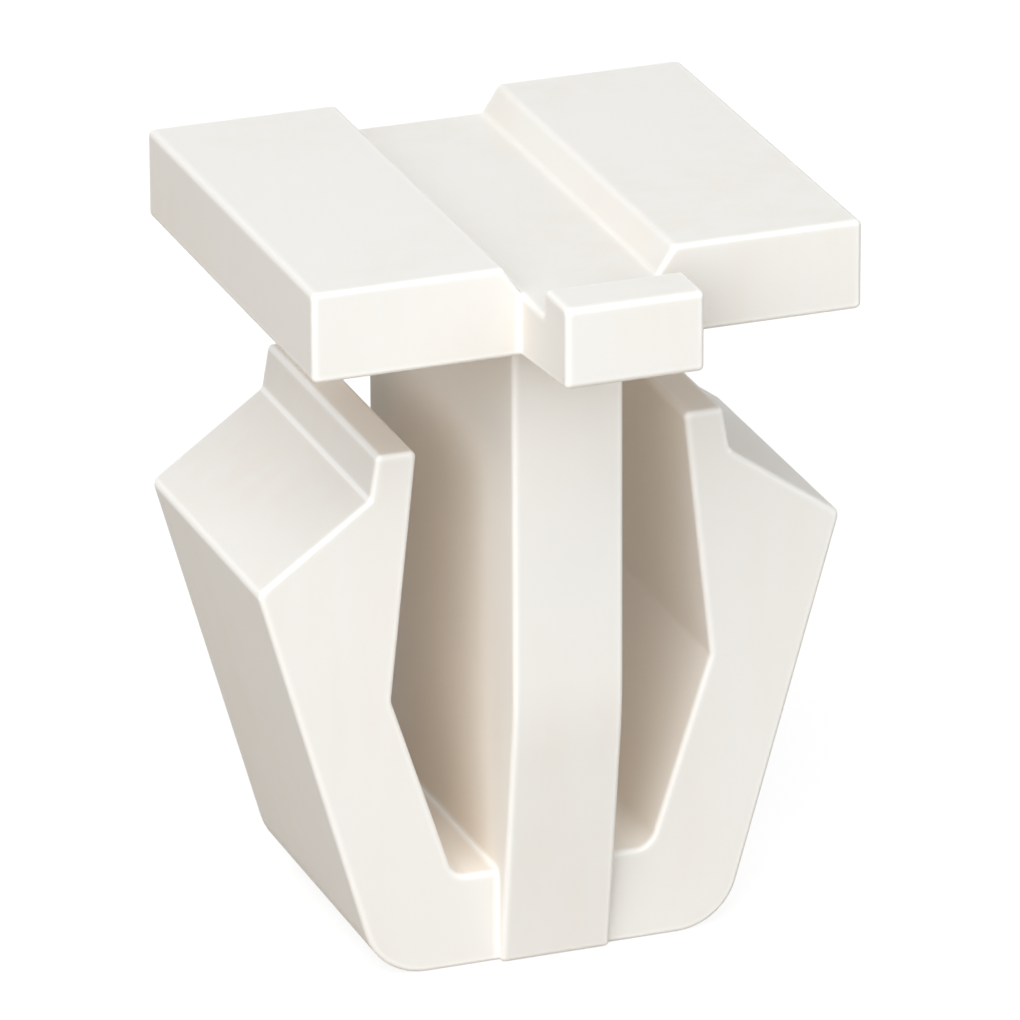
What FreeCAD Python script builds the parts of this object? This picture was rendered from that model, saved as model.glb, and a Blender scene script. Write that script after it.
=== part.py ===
"""Moulded nylon clip that holds a body moulding to a sheet metal panel, one solid, millimetres.

The origin is the centre of the panel's hole, in the plane of the head's underside, where the
panel lies. +Z points out of the panel, X runs across the head's groove and Y along it, with the
latch tab at the -Y end. The head slides into the moulding's channel along Y. Below it a flat
stem carries two spring wings, joined to it at the foot, which fold inwards as the clip is pushed
through the hole and spread again behind the panel.
"""
import FreeCAD, Part
import math
import os

# Head plate, its groove and the latch tab at its front
head_width = 15.0
head_thickness = 2.45
head_front_overhang = 1.55
head_back_overhang = 0.35
groove_mouth = 4.65
groove_floor = 3.65
groove_depth = 0.75
tab_side_reach = 0.05
tab_reach = 1.7
lip_depth = 1.6
tab_underside_rise = 0.27

# Stem between the wings, measured down from the head's underside
stem_width = 3.05
stem_depth = 11.1
foot_drop = 18.2
taper_start_drop = 10.85
taper_round = 12.0
foot_step = 0.2

# Wings: half widths from the middle of the stem, drops from the head's underside
wing_depth = 8.6
tip_inner_half = 3.7
tip_width = 1.1
tip_drop = 3.4
step_height = 1.2
step_flare = 0.2
shoulder_half = 8.1
shoulder_drop = 6.8
foot_half = 4.85
kink_half = 4.45
kink_drop = 10.35
pocket_half = 2.75
pocket_drop = 15.6

# Rounds: edge_round softens every outer edge, and corners in an outline are a little larger
edge_round = 0.13
corner_margin = 0.04
corner_round = edge_round + corner_margin
groove_floor_round = 0.12
step_round = 0.3
shoulder_round = 0.3
foot_round = 1.75
kink_round = 0.4
pocket_round = 0.55

# Sizes that follow from the ones above
head_front = -stem_depth / 2 - head_front_overhang
head_back = stem_depth / 2 + head_back_overhang
tab_width = groove_floor + 2 * tab_side_reach
tab_floor_height = head_thickness - groove_depth
NODE = "molding_clip"


def corner_arc(before, corner, after, radius):
    """The arc of this radius that rounds a corner, with its start and end points."""
    to_before = (before - corner).normalize()
    to_after = (after - corner).normalize()
    half_angle = to_before.getAngle(to_after) / 2
    inward = (to_before + to_after).normalize()
    setback = radius / math.tan(half_angle)
    start = corner + to_before * setback
    end = corner + to_after * setback
    middle = corner + inward * (radius / math.sin(half_angle) - radius)
    return start, Part.Arc(start, middle, end), end


def rounded_face(corners):
    """A flat face inside the closed outline of (point, radius) corners."""
    arcs = []
    for i, (corner, radius) in enumerate(corners):
        before = corners[i - 1][0]
        after = corners[(i + 1) % len(corners)][0]
        arcs.append(corner_arc(before, corner, after, radius))
    edges = []
    for i, (start, arc, end) in enumerate(arcs):
        next_start = arcs[(i + 1) % len(arcs)][0]
        edges.append(arc.toShape())
        edges.append(Part.LineSegment(end, next_start).toShape())
    return Part.Face(Part.Wire(edges))


def soft_prism(corners, along):
    """The outline drawn out along a vector, with the edges round both end faces softened."""
    solid = rounded_face(corners).extrude(along)
    direction = FreeCAD.Vector(along).normalize()
    rim = []
    for face in solid.Faces:
        if abs(face.normalAt(0, 0).dot(direction)) > 0.999:
            rim += face.Edges
    return solid.makeFillet(edge_round, rim)


def point(x, y, z):
    return FreeCAD.Vector(x, y, z)


def mirrored(right_half):
    """A whole front outline from its right half, given in order round the outline."""
    left_half = [(point(-p.x, p.y, p.z), radius) for p, radius in reversed(right_half)]
    return right_half + left_half


def head():
    """The plate with its shallow groove, drawn as the front outline and run along Y."""
    right_half = [
        (point(head_width / 2, head_front, 0), corner_round),
        (point(head_width / 2, head_front, head_thickness), corner_round),
        (point(groove_mouth / 2, head_front, head_thickness), corner_round),
        (point(groove_floor / 2, head_front, tab_floor_height), groove_floor_round),
    ]
    return soft_prism(mirrored(right_half), point(0, head_back - head_front, 0))


def latch_tab():
    """The tongue that carries the groove's floor forward and ends in an upright lip."""
    side = -tab_width / 2
    root = head_front + head_thickness
    lip_back = head_front - tab_reach
    lip_front = lip_back - lip_depth
    outline = [
        (point(side, root, 0), corner_round),
        (point(side, head_front, 0), corner_round),
        (point(side, lip_front, tab_underside_rise), corner_round),
        (point(side, lip_front, head_thickness), corner_round),
        (point(side, lip_back, head_thickness), corner_round),
        (point(side, lip_back, tab_floor_height), groove_floor_round),
        (point(side, root, tab_floor_height), corner_round),
    ]
    return soft_prism(outline, point(tab_width, 0, 0))


def stem():
    """The flat bar from head to foot. Its faces slope in, to stand a small step proud at the foot."""
    side = -stem_width / 2
    face = stem_depth / 2
    foot_face = wing_depth / 2 + foot_step
    root_height = head_thickness / 2
    outline = [
        (point(side, -foot_face, -foot_drop), corner_round),
        (point(side, foot_face, -foot_drop), corner_round),
        (point(side, face, -taper_start_drop), taper_round),
        (point(side, face, root_height), corner_round),
        (point(side, -face, root_height), corner_round),
        (point(side, -face, -taper_start_drop), taper_round),
    ]
    return soft_prism(outline, point(stem_width, 0, 0))


def wings():
    """Both spring wings and the web between them at the foot, as one outline run along Y."""
    front = -wing_depth / 2
    tip_outer_half = tip_inner_half + tip_width
    right_half = [
        (point(foot_half, front, -foot_drop), foot_round),
        (point(shoulder_half, front, -shoulder_drop), shoulder_round),
        (point(tip_outer_half + step_flare, front, -tip_drop - step_height), step_round),
        (point(tip_outer_half, front, -tip_drop), corner_round),
        (point(tip_inner_half, front, -tip_drop), corner_round),
        (point(kink_half, front, -kink_drop), kink_round),
        (point(pocket_half, front, -pocket_drop), pocket_round),
    ]
    return soft_prism(mirrored(right_half), point(0, wing_depth, 0))


def clip():
    """The four forms grown together into the one moulding."""
    return head().fuse([latch_tab(), stem(), wings()]).removeSplitter()


os.makedirs("parts", exist_ok=True)
body = clip()
body.exportStep("parts/" + NODE + ".step")
print(NODE, "solids", len(body.Solids), "valid", body.isValid(), "volume", round(body.Volume, 2))
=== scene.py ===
"""Looks of the moulded nylon clip: its finish, a white floor, soft studio light and the camera.

Every length is in metres, and those of the clip's own scale are written as millimetres times MM.
Only the camera's sensor and lens are in Blender's millimetres.
"""
import math

import bpy
from mathutils import Matrix, Vector


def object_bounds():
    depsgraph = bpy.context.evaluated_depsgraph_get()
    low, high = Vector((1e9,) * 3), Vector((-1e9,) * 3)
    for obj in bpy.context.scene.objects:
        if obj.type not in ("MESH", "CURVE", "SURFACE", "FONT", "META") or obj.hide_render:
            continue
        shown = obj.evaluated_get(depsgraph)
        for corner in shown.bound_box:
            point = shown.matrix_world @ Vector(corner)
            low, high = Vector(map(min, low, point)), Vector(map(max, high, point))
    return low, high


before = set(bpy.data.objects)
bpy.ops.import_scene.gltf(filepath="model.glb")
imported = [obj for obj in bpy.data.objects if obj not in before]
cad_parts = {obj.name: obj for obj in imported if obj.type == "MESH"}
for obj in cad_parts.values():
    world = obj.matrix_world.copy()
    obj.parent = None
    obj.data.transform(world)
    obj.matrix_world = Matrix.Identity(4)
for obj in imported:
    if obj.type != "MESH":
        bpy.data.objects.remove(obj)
cad_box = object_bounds()
NODE = "molding_clip"
MM = 0.001

# Camera: where it stands round the clip, the point that it looks at, and its lens
VIEW_AZIMUTH = -20.256
VIEW_ELEVATION = 22.226
VIEW_ROLL = -0.258
VIEW_DISTANCE = 286.8 * MM
VIEW_AIM = Vector((0.19, -0.65, -7.0)) * MM
SENSOR_WIDTH = 36.0
LENS = 384.5
CLIP_START = 1 * MM
CLIP_END = 10.0

# Nylon: linear colours of the open surface, of the painted shade in recesses, and of the painted
# highlight on edges and creases
IVORY = (0.808, 0.793, 0.768)
IVORY_WARM = (0.798, 0.768, 0.724)
PAINTED_RECESS_SHADE = (0.840, 0.745, 0.640)
PAINTED_HIGHLIGHT = (0.980, 0.974, 0.960)

# Nylon: how far the painted shade in recesses and the painted highlights on creases and edges
# reach, and how open the surface is there
RECESS_REACH = 6.0 * MM
RECESS_OPEN = (0.15, 0.65)
RECESS_SAMPLES = 2
CREASE_REACH = 0.22 * MM
CREASE_OPEN = (0.55, 0.92)
EDGE_REACH = 0.20 * MM
EDGE_OPEN = (0.55, 0.98)
EDGE_SAMPLES = 3

# Nylon: painted highlights along the broader rounds on each wing, its shoulder ridge, step and tip.
# Each has the x and z of its line along Y, as in part.py, and the distances where the highlight is
# whole and where it ends
WING_LINES = (
    (8.1 * MM, -6.8 * MM, 0.08 * MM, 0.20 * MM),
    (5.0 * MM, -4.6 * MM, 0.04 * MM, 0.13 * MM),
    (4.8 * MM, -3.4 * MM, 0.06 * MM, 0.17 * MM),
)

# Nylon: the size of each kind of mark, its finer octaves, and the stretch of its noise that is used
CLOUD_SIZE = 7.0 * MM
CLOUD_DETAIL = 3
CLOUD_RANGE = (0.35, 0.7)
FLOW_SIZE = 0.9 * MM
FLOW_STRETCH = (1, 1, 0.15)
FLOW_DETAIL = 4
FLOW_RANGE = (0.3, 0.7)
GRAIN_SIZE = 0.11 * MM
GRAIN_DETAIL = 3
GRAIN_HARSHNESS = 0.6
GRAIN_RANGE = (0.3, 0.7)
GRAIN_HEIGHT = 0.0016 * MM
RIPPLE_SIZE = 1.6 * MM
RIPPLE_DETAIL = 2
RIPPLE_HEIGHT = 0.006 * MM

# Nylon: its gloss
ROUGHNESS = (0.62, 0.74)
NYLON_IOR = 1.53
NYLON_SPECULAR = 0.35

# The Mix node's sockets for colours, by number because their names repeat for each kind of data
MIX_FACTOR = 0
MIX_FIRST = 6
MIX_SECOND = 7
MIX_RESULT = 2

# Studio: a floor that gives warm light back but is seen as white, and the point that lamps face
FLOOR_HALF = 1.5
FLOOR_BOUNCE = (0.44, 0.375, 0.30, 1)
FLOOR_SEEN = (0.25, 0.25, 0.25, 1)
FLOOR_GLOW = 0.84
LAMP_AIM = Vector((0, 0, -8.0)) * MM
LAMP_DISTANCE = 0.3

# Lamps: name, azimuth, elevation, width across in metres, watts and colour
LAMPS = (
    ("left lamp", -49, 26, 0.30, 0.68, (0.985, 0.995, 1.0)),
    ("front lamp", -18, 9, 0.24, 0.26, (0.87, 0.94, 1.0)),
    ("top lamp", -26, 66, 0.24, 0.41, (1.0, 0.98, 0.925)),
    ("right lamp", 24, 28, 0.24, 0.27, (0.90, 0.96, 1.0)),
    ("side lamp", 104, 10, 0.24, 0.19, (1.0, 0.94, 0.86)),
    ("back lamp", 174, 16, 0.30, 0.62, (0.97, 0.985, 1.0)),
)


def direction(azimuth, elevation):
    """The unit vector from the clip towards a place in the studio. Azimuth 0 is the front, -Y."""
    a = math.radians(azimuth)
    e = math.radians(elevation)
    return Vector((math.sin(a) * math.cos(e), -math.cos(a) * math.cos(e), math.sin(e)))


def add_camera():
    back = direction(VIEW_AZIMUTH, VIEW_ELEVATION)
    right = Vector((0, 0, 1)).cross(back).normalized()
    up = back.cross(right)
    roll = Matrix.Rotation(math.radians(VIEW_ROLL), 3, "Z")
    turn = Matrix((right, up, back)).transposed() @ roll
    data = bpy.data.cameras.new("camera")
    data.sensor_width = SENSOR_WIDTH
    data.lens = LENS
    data.clip_start = CLIP_START
    data.clip_end = CLIP_END
    camera = bpy.data.objects.new("camera", data)
    place = VIEW_AIM + back * VIEW_DISTANCE
    camera.matrix_world = Matrix.Translation(place) @ turn.to_4x4()
    bpy.context.scene.collection.objects.link(camera)
    bpy.context.scene.camera = camera


def add_lamp(name, azimuth, elevation, width, watts, color):
    """A round soft lamp that faces the clip from a direction."""
    data = bpy.data.lights.new(name, "AREA")
    data.shape = "DISK"
    data.size = width
    data.energy = watts
    data.color = color
    lamp = bpy.data.objects.new(name, data)
    towards = direction(azimuth, elevation)
    lamp.location = LAMP_AIM + towards * LAMP_DISTANCE
    lamp.rotation_euler = towards.to_track_quat("Z", "Y").to_euler()
    bpy.context.scene.collection.objects.link(lamp)


def add_node(tree, kind, inputs=None, **settings):
    """A new shader node with its own settings, and with values or links for its inputs by name."""
    node = tree.nodes.new(kind)
    for name, value in settings.items():
        setattr(node, name, value)
    for name, value in (inputs or {}).items():
        socket = node.inputs[name]
        if isinstance(value, bpy.types.NodeSocket):
            tree.links.new(value, socket)
        else:
            socket.default_value = value
    return node


def maths(tree, operation, first, second):
    """The result of one operation on two numbers."""
    made = add_node(tree, "ShaderNodeMath", {0: first, 1: second}, operation=operation)
    return made.outputs[0]


def noise(tree, place, size, detail, harshness=0.5):
    """Noise whose marks are about this size, from 0 to 1."""
    inputs = {"Vector": place, "Scale": 1 / size, "Detail": detail, "Roughness": harshness}
    return add_node(tree, "ShaderNodeTexNoise", inputs).outputs["Fac"]


def remap(tree, value, low, high, to_low=0.0, to_high=1.0):
    """The value's stretch from low to high, eased, as a stretch from to_low to to_high."""
    inputs = {
        "Value": value, "From Min": low, "From Max": high, "To Min": to_low, "To Max": to_high,
    }
    made = add_node(tree, "ShaderNodeMapRange", inputs, interpolation_type="SMOOTHSTEP")
    return made.outputs["Result"]


def blend_colors(tree, factor, first, second):
    """A colour between the two. Each is three numbers or a link."""
    made = add_node(tree, "ShaderNodeMix", data_type="RGBA")
    for number, color in ((MIX_FIRST, first), (MIX_SECOND, second)):
        socket = made.inputs[number]
        if isinstance(color, bpy.types.NodeSocket):
            tree.links.new(color, socket)
        else:
            socket.default_value = (*color, 1)
    tree.links.new(factor, made.inputs[MIX_FACTOR])
    return made.outputs[MIX_RESULT]


def closed_in(tree, reach, samples, openness, inside=False):
    """1 where other surfaces stand near, 0 in the open, by two levels of how open it is.

    Inside, it is 1 near outer edges instead.
    """
    made = add_node(
        tree, "ShaderNodeAmbientOcclusion", {"Distance": reach},
        samples=samples, inside=inside, only_local=True,
    )
    least, most = openness
    return remap(tree, made.outputs["AO"], most, least)


def on_wing_line(tree, place, x, z, near, far):
    """1 near the lines along Y at this x on either side and this z, easing to 0 at far."""
    folded = add_node(tree, "ShaderNodeVectorMath", {0: place}, operation="ABSOLUTE").outputs[0]
    inputs = {0: folded, 1: (1, 0, 1)}
    across = add_node(tree, "ShaderNodeVectorMath", inputs, operation="MULTIPLY").outputs[0]
    inputs = {0: across, 1: (x, 0, abs(z))}
    apart = add_node(tree, "ShaderNodeVectorMath", inputs, operation="DISTANCE")
    return remap(tree, apart.outputs["Value"], far, near)


def nylon_color(tree, place):
    """Ivory with faint warm clouds and flow marks, painted shade in recesses, painted highlights on
    edges and creases.
    """
    clouds = remap(tree, noise(tree, place, CLOUD_SIZE, CLOUD_DETAIL), *CLOUD_RANGE)
    inputs = {"Vector": place, "Scale": FLOW_STRETCH}
    stretched = add_node(tree, "ShaderNodeMapping", inputs).outputs[0]
    flow = remap(tree, noise(tree, stretched, FLOW_SIZE, FLOW_DETAIL), *FLOW_RANGE)
    color = blend_colors(tree, maths(tree, "MULTIPLY", clouds, flow), IVORY, IVORY_WARM)

    # Painted shade: a darker, warmer colour where the surface is closed in by recesses
    recess_shade = closed_in(tree, RECESS_REACH, RECESS_SAMPLES, RECESS_OPEN)
    color = blend_colors(tree, recess_shade, color, PAINTED_RECESS_SHADE)
    # Painted highlight: a paler colour along concave creases
    crease_highlight = closed_in(tree, CREASE_REACH, EDGE_SAMPLES, CREASE_OPEN)
    color = blend_colors(tree, crease_highlight, color, PAINTED_HIGHLIGHT)
    # Painted highlight: a paler colour along outer edges
    edge_highlight = closed_in(tree, EDGE_REACH, EDGE_SAMPLES, EDGE_OPEN, inside=True)
    color = blend_colors(tree, edge_highlight, color, PAINTED_HIGHLIGHT)
    # Painted highlight: a paler colour along the wing's rounds
    for x, z, near, far in WING_LINES:
        color = blend_colors(tree, on_wing_line(tree, place, x, z, near, far), color, PAINTED_HIGHLIGHT)
    return color


def nylon():
    """Natural nylon as moulded, softly matt, with a fine grain over a slight ripple."""
    material = bpy.data.materials.new("nylon")
    material.use_nodes = True
    tree = material.node_tree
    shader = tree.nodes["Principled BSDF"]
    place = add_node(tree, "ShaderNodeTexCoord").outputs["Object"]
    tree.links.new(nylon_color(tree, place), shader.inputs["Base Color"])

    grain = noise(tree, place, GRAIN_SIZE, GRAIN_DETAIL, GRAIN_HARSHNESS)
    roughness = remap(tree, grain, *GRAIN_RANGE, *ROUGHNESS)
    tree.links.new(roughness, shader.inputs["Roughness"])
    ripple = noise(tree, place, RIPPLE_SIZE, RIPPLE_DETAIL)
    inputs = {"Height": ripple, "Distance": RIPPLE_HEIGHT}
    rippled = add_node(tree, "ShaderNodeBump", inputs).outputs[0]
    inputs = {"Height": grain, "Distance": GRAIN_HEIGHT, "Normal": rippled}
    grained = add_node(tree, "ShaderNodeBump", inputs).outputs[0]
    tree.links.new(grained, shader.inputs["Normal"])
    shader.inputs["IOR"].default_value = NYLON_IOR
    shader.inputs["Specular IOR Level"].default_value = NYLON_SPECULAR
    return material


def seen_directly(tree):
    """1 for rays from the camera and for those that a gloss or glass sends on, else 0."""
    rays = add_node(tree, "ShaderNodeLightPath").outputs
    mirrored = maths(tree, "MAXIMUM", rays["Is Camera Ray"], rays["Is Glossy Ray"])
    return maths(tree, "MAXIMUM", mirrored, rays["Is Transmission Ray"])


def floor_finish():
    """A matt floor that shows white where it is seen, and keeps the clip's soft shadow."""
    material = bpy.data.materials.new("floor")
    material.use_nodes = True
    tree = material.node_tree
    tree.nodes.remove(tree.nodes["Principled BSDF"])
    bounce = add_node(tree, "ShaderNodeBsdfDiffuse", {"Color": FLOOR_BOUNCE}).outputs[0]
    matt = add_node(tree, "ShaderNodeBsdfDiffuse", {"Color": FLOOR_SEEN}).outputs[0]
    inputs = {"Color": (1, 1, 1, 1), "Strength": FLOOR_GLOW}
    glow = add_node(tree, "ShaderNodeEmission", inputs).outputs[0]
    seen = add_node(tree, "ShaderNodeAddShader", {0: matt, 1: glow}).outputs[0]
    inputs = {0: seen_directly(tree), 1: bounce, 2: seen}
    mixed = add_node(tree, "ShaderNodeMixShader", inputs).outputs[0]
    tree.links.new(mixed, tree.nodes["Material Output"].inputs["Surface"])
    return material


def add_floor():
    low = cad_box[0].z
    s = FLOOR_HALF
    mesh = bpy.data.meshes.new("floor")
    mesh.from_pydata([(-s, -s, low), (s, -s, low), (s, s, low), (-s, s, low)], [], [(0, 1, 2, 3)])
    mesh.materials.append(floor_finish())
    floor = bpy.data.objects.new("floor", mesh)
    bpy.context.scene.collection.objects.link(floor)


def add_world():
    """White where it is seen, and dark to every other ray, so that only the lamps give light."""
    world = bpy.data.worlds.new("studio")
    world.use_nodes = True
    tree = world.node_tree
    background = tree.nodes["Background"]
    background.inputs["Color"].default_value = (1, 1, 1, 1)
    tree.links.new(seen_directly(tree), background.inputs["Strength"])
    bpy.context.scene.world = world


add_camera()
add_floor()
add_world()
for lamp in LAMPS:
    add_lamp(*lamp)
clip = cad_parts[NODE]
clip.data.materials.clear()
clip.data.materials.append(nylon())
bpy.context.scene.view_settings.view_transform = "Standard"
